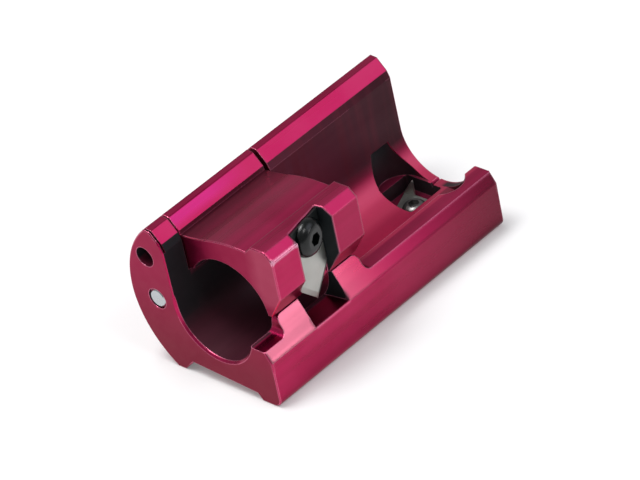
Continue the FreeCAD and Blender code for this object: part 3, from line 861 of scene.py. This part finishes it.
    def make(self, groups: EffectGroups) -> bpy.types.Material:
        """Builds the material.

        Args:
            groups: shared effect groups.

        Returns:
            The material.
        """
        material, sheet, shader = new_material(self.name)
        lines = sheet.group(groups.brushed)
        streak = lines.outputs["Streak"]
        patches = sheet.group(groups.wear).outputs["Patches"]
        is_open = sheet.group(groups.recess).outputs["Open"]
        cuts = sheet.group(groups.faces)
        face = {cut: cuts.outputs[cut.value] for cut in Cut}
        edge = self._edge(sheet, face, groups)
        tone = self._dye_and_painted_light(sheet, face, streak, patches)
        tone = self._painted_shade(sheet, face, is_open, tone)
        tone = self._edge_highlights(sheet, face, edge.outputs["Edge"], tone)
        sheet.link(tone, shader.inputs["Base Color"])
        self._polish(sheet, shader, face, streak, patches)
        bump = sheet.bump(lines.outputs["Height"], self.line_strength, self.line_depth)
        sheet.link(edge.outputs["Normal"], bump.inputs["Normal"])
        sheet.link(bump.outputs[0], shader.inputs["Normal"])
        return material


@dataclass(frozen=True)
class GroundSteel:
    """Ground or drawn steel with fine lines; above a height it may be near-black in painted shade."""

    name: str
    base: Colour
    roughness: float
    shaded_above: float = 1.0
    shade_tone: Colour = (0.006, 0.009, 0.009)
    shade_metallic: float = 0.2
    shade_fade: Pair = (-0.8 * MM, 0.4 * MM)
    fineness: float = 2600.0
    patch_tone: float = 0.86
    streak_rough: float = 0.05
    line_strength: float = 0.12
    line_depth: float = 0.01 * MM

    def make(self, groups: EffectGroups) -> bpy.types.Material:
        """Builds the material.

        Args:
            groups: shared effect groups.

        Returns:
            The material.
        """
        material, sheet, shader = new_material(self.name)
        lines = sheet.group(groups.brushed)
        lines.inputs["Fineness"].default_value = self.fineness
        patches = sheet.group(groups.wear).outputs["Patches"]
        red, green, blue = (part * self.patch_tone for part in self.base)
        tone = sheet.mix(patches, rgba(self.base), rgba((red, green, blue)))
        # Painted shade above a height: near-black and less metallic.
        height = sheet.split(sheet.add("ShaderNodeTexCoord").outputs["Object"])[2]
        start, full = (self.shaded_above + step for step in self.shade_fade)
        in_shade = sheet.remap(height, start, full)
        sheet.link(sheet.mix(in_shade, tone, rgba(self.shade_tone)), shader.inputs["Base Color"])
        sheet.link(sheet.remap(in_shade, 0.0, 1.0, 1.0, self.shade_metallic), shader.inputs["Metallic"])
        rough = sheet.remap(lines.outputs["Streak"], 0.0, 1.0, self.roughness - self.streak_rough,
                            self.roughness + self.streak_rough)
        sheet.link(rough, shader.inputs["Roughness"])
        bump = sheet.bump(lines.outputs["Height"], self.line_strength, self.line_depth)
        sheet.link(bump.outputs[0], shader.inputs["Normal"])
        return material


@dataclass(frozen=True)
class BlackOxide:
    """Black oxide on a steel screw: dark, oily, glossy."""

    name: str = "black_oxide"
    base: Colour = (0.002, 0.003, 0.003)
    speck_tone: float = 2.2
    roughness: float = 0.27
    patch_polish: float = 0.04
    patch_rough: float = 0.06
    specular: float = 0.38

    def make(self, groups: EffectGroups) -> bpy.types.Material:
        """Builds the material.

        Args:
            groups: shared effect groups.

        Returns:
            The material.
        """
        material, sheet, shader = new_material(self.name)
        marks = sheet.group(groups.wear)
        red, green, blue = (part * self.speck_tone for part in self.base)
        tone = sheet.mix(marks.outputs["Specks"], rgba(self.base), rgba((red, green, blue)))
        sheet.link(tone, shader.inputs["Base Color"])
        shader.inputs["Metallic"].default_value = 0.0
        rough = sheet.remap(marks.outputs["Patches"], 0.0, 1.0, self.roughness - self.patch_polish,
                            self.roughness + self.patch_rough)
        sheet.link(rough, shader.inputs["Roughness"])
        shader.inputs["Specular IOR Level"].default_value = self.specular
        return material


class Slot(Enum):
    """Finishes that a piece can have."""

    ANODISED = "red_anodised"
    PIN = "pin_steel"
    SPRING = "spring_steel"
    KNIFE = "knife_steel"
    BLACK = "black_steel"


class FinishSet:
    """All finishes of the tool, made once and handed out by slot."""

    def __init__(self) -> None:
        """Builds every material."""
        groups = EffectGroups()
        self.by_slot: Dict[Slot, bpy.types.Material] = {
            Slot.ANODISED: Anodised().make(groups),
            Slot.PIN: GroundSteel("pin_steel", base=(0.56, 0.59, 0.61), roughness=0.25).make(groups),
            Slot.SPRING: GroundSteel("spring_steel", base=(0.20, 0.195, 0.19), roughness=0.38).make(groups),
            Slot.KNIFE: GroundSteel("knife_steel", base=(0.49, 0.495, 0.465), roughness=0.42,
                                    shaded_above=34.0 * MM).make(groups),
            Slot.BLACK: BlackOxide().make(groups),
        }

    def dress(self, mesh: bpy.types.Mesh, slot: Slot) -> None:
        """Gives a mesh its finish.

        Args:
            mesh: the mesh to dress.
            slot: the finish to use.
        """
        mesh.materials.clear()
        mesh.materials.append(self.by_slot[slot])


# ---------------------------------------------------------------- sub-assemblies
Pieces = Tuple[Tuple[str, Slot], ...]


@dataclass(frozen=True)
class SubAssembly:
    """Solid pieces that belong together, each with its finish."""

    pieces: Pieces

    def build(self, finishes: FinishSet) -> None:
        """Dresses each piece.

        Args:
            finishes: the tool's finishes.
        """
        for node, slot in self.pieces:
            finishes.dress(frame["nodes"][node].data, slot)
            LOG.info("dressed %s", node)


@dataclass(frozen=True)
class BodyBlock(SubAssembly):
    """The machined block, with the pin the jaw turns on and the pin its spring rests on."""

    pieces: Pieces = (
        ("body", Slot.ANODISED), ("hinge_pin", Slot.PIN), ("anchor_pin", Slot.PIN))


@dataclass(frozen=True)
class Jaw(SubAssembly):
    """The hinged jaw, with the knife that slits along the pipe and its screw."""

    pieces: Pieces = (
        ("jaw", Slot.ANODISED), ("slitting_knife", Slot.KNIFE), ("slitting_knife_screw", Slot.BLACK))


@dataclass(frozen=True)
class RingCutter(SubAssembly):
    """The knife that scores round the pipe, with its screw."""

    pieces: Pieces = (
        ("ring_knife", Slot.KNIFE), ("ring_knife_screw", Slot.SPRING))


@dataclass(frozen=True)
class JawSpring:
    """Torsion spring, made as one smooth mesh from its solid; on the tool its leg stays with the body, its
    tang turns with the jaw and its coil winds.
    """

    name: str = "jaw_torsion_spring"
    node: str = "jaw_spring"
    wire: float = 0.72 * MM
    tang: float = 2.80 * MM
    weld: float = 0.0005 * MM
    smooth_deg: float = 40.0

    def build(self, finishes: FinishSet) -> bpy.types.Object:
        """Makes the spring from its solid, merged into one mesh with smooth shading.

        Args:
            finishes: the tool's finishes.

        Returns:
            The spring's object.
        """
        shape = bmesh.new()
        shape.from_mesh(frame["nodes"][self.node].data)
        bmesh.ops.remove_doubles(shape, verts=shape.verts, dist=self.weld)
        mesh = bpy.data.meshes.new(self.name)
        shape.to_mesh(mesh)
        shape.free()
        mesh.shade_smooth()
        mesh.set_sharp_from_angle(angle=math.radians(self.smooth_deg))
        finishes.dress(mesh, Slot.SPRING)
        spring = bpy.data.objects.new(self.name, mesh)
        bpy.context.scene.collection.objects.link(spring)
        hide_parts(self.node)
        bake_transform(spring)
        LOG.info("built %s", spring.name)
        return spring


# ---------------------------------------------------------------- stage
@dataclass(frozen=True)
class BrightSide:
    """A pale side of the room: where it lies, how wide it is in degrees and how bright it is."""

    towards: Triple
    inner: float
    outer: float
    strength: float


@dataclass(frozen=True)
class Lamp:
    """A rectangular lamp: where it hangs, what it points at, its width and depth, and its power in watts."""

    name: str
    place: Triple
    target: Triple
    size: Pair
    watts: float

    def build(self) -> None:
        """Hangs the lamp."""
        light = bpy.data.lights.new(self.name, "AREA")
        light.shape = "RECTANGLE"
        light.size, light.size_y = self.size
        light.energy = self.watts
        lamp = bpy.data.objects.new(self.name, light)
        lamp.location = self.place
        aim = Vector(self.target) - Vector(self.place)
        lamp.rotation_euler = aim.to_track_quat("-Z", "Y").to_euler()
        bpy.context.scene.collection.objects.link(lamp)


@dataclass(frozen=True)
class Studio:
    """Floor, lamps, world and camera."""

    middle: Triple = (0.0, 0.0, 0.018)
    lamps: Tuple[Lamp, ...] = (
        Lamp("top", place=(-0.26, 0.20, 0.90), target=middle, size=(0.48, 0.48), watts=4.6),
        Lamp("key", place=(-0.06, 0.14, 0.89), target=middle, size=(0.40, 0.22), watts=2.7),
        Lamp("glint", place=(-0.05, -0.30, 0.42), target=middle, size=(0.13, 0.13), watts=0.36),
        Lamp("panel", place=(0.100, -0.218, 0.082), target=(-0.03, -0.02, 0.016),
             size=(0.055, 0.055), watts=0.028),
    )
    world_dim: float = 0.24
    cool: Colour = (0.97, 1.0, 1.14)
    bright_sides: Tuple[BrightSide, ...] = (
        BrightSide(towards=(0.54, -0.62, 0.57), inner=6.0, outer=26.0, strength=1.38),
        BrightSide(towards=(-0.6, 0.5, 0.6), inner=10.0, outer=60.0, strength=0.20),
        BrightSide(towards=(0.54, 0.62, 0.57), inner=6.0, outer=40.0, strength=0.22),
    )
    floor_size: float = 6.0
    floor_grey: float = 0.73
    floor_lift: float = 0.18
    floor_lift_seen: float = 0.55
    lens_mm: float = 254.02
    sensor_mm: float = 36.0
    clip_start: float = 0.01
    camera_place: Triple = (-0.571469, -0.655250, 0.613765)
    right: Triple = (0.657707, -0.733055, -0.173353)
    down: Triple = (-0.523671, -0.279537, -0.804753)
    forward: Triple = (0.541470, 0.620072, -0.567733)

    def build(self) -> None:
        """Builds everything that isn't the tool."""
        self._floor()
        self._world()
        for lamp in self.lamps:
            lamp.build()
        self._camera()
        LOG.info("set the stage")

    def _floor(self) -> None:
        """Plain white floor that catches the shadow."""
        mesh = bpy.data.meshes.new("floor")
        shape = bmesh.new()
        bmesh.ops.create_grid(shape, x_segments=1, y_segments=1, size=self.floor_size / 2)
        shape.to_mesh(mesh)
        shape.free()
        floor = bpy.data.objects.new("floor", mesh)
        bpy.context.scene.collection.objects.link(floor)
        material, sheet, shader = new_material("floor_white")
        shader.inputs["Base Color"].default_value = rgba((self.floor_grey, self.floor_grey, self.floor_grey))
        shader.inputs["Roughness"].default_value = 1.0
        shader.inputs["Specular IOR Level"].default_value = 0.0
        shader.inputs["Emission Color"].default_value = rgba(WHITE)
        path = sheet.add("ShaderNodeLightPath")
        mirrored = sheet.product(path.outputs["Is Glossy Ray"], self.floor_lift_seen)
        seen = sheet.top(path.outputs["Is Camera Ray"], mirrored)
        sheet.link(sheet.product(seen, self.floor_lift), shader.inputs["Emission Strength"])
        mesh.materials.append(material)

    def _world(self) -> None:
        """Dim surround with a few broad, pale and slightly cool sides."""
        world = bpy.data.worlds.new("studio")
        bpy.context.scene.world = world
        world.use_nodes = True
        sheet = NodeSheet(world.node_tree)
        surround = world.node_tree.nodes["Background"]
        place = sheet.add("ShaderNodeTexCoord")
        total: object = self.world_dim
        pale: object = 0.0
        for side in self.bright_sides:
            aim = sheet.add("ShaderNodeVectorMath", operation="DOT_PRODUCT")
            sheet.link(place.outputs["Generated"], aim.inputs[0])
            aim.inputs[1].default_value = Vector(side.towards).normalized()
            lobe = sheet.remap(aim.outputs["Value"], math.cos(math.radians(side.outer)),
                               math.cos(math.radians(side.inner)), 0.0, side.strength)
            total = sheet.total(lobe, total)
            pale = sheet.math("ADD", lobe, pale, clamp=True)
        sheet.link(total, surround.inputs["Strength"])
        sheet.link(sheet.mix(pale, rgba(WHITE), rgba(self.cool)), surround.inputs["Color"])

    def _camera(self) -> None:
        """Long lens from the front left, rolled as the tool is framed."""
        data = bpy.data.cameras.new("view")
        data.lens = self.lens_mm
        data.sensor_width = self.sensor_mm
        data.clip_start = self.clip_start
        camera = bpy.data.objects.new("view", data)
        turn = Matrix((Vector(self.right), -Vector(self.down), -Vector(self.forward))).transposed()
        camera.matrix_world = Matrix.Translation(Vector(self.camera_place)) @ turn.to_4x4()
        bpy.context.scene.collection.objects.link(camera)
        bpy.context.scene.camera = camera


def main() -> None:
    """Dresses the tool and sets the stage."""
    logging.basicConfig(level=logging.INFO)
    bpy.context.scene.view_settings.view_transform = "Standard"
    finishes = FinishSet()
    for part in (BodyBlock(), Jaw(), RingCutter(), JawSpring()):
        part.build(finishes)
    Studio().build()


if __name__ == "__main__":
    main()
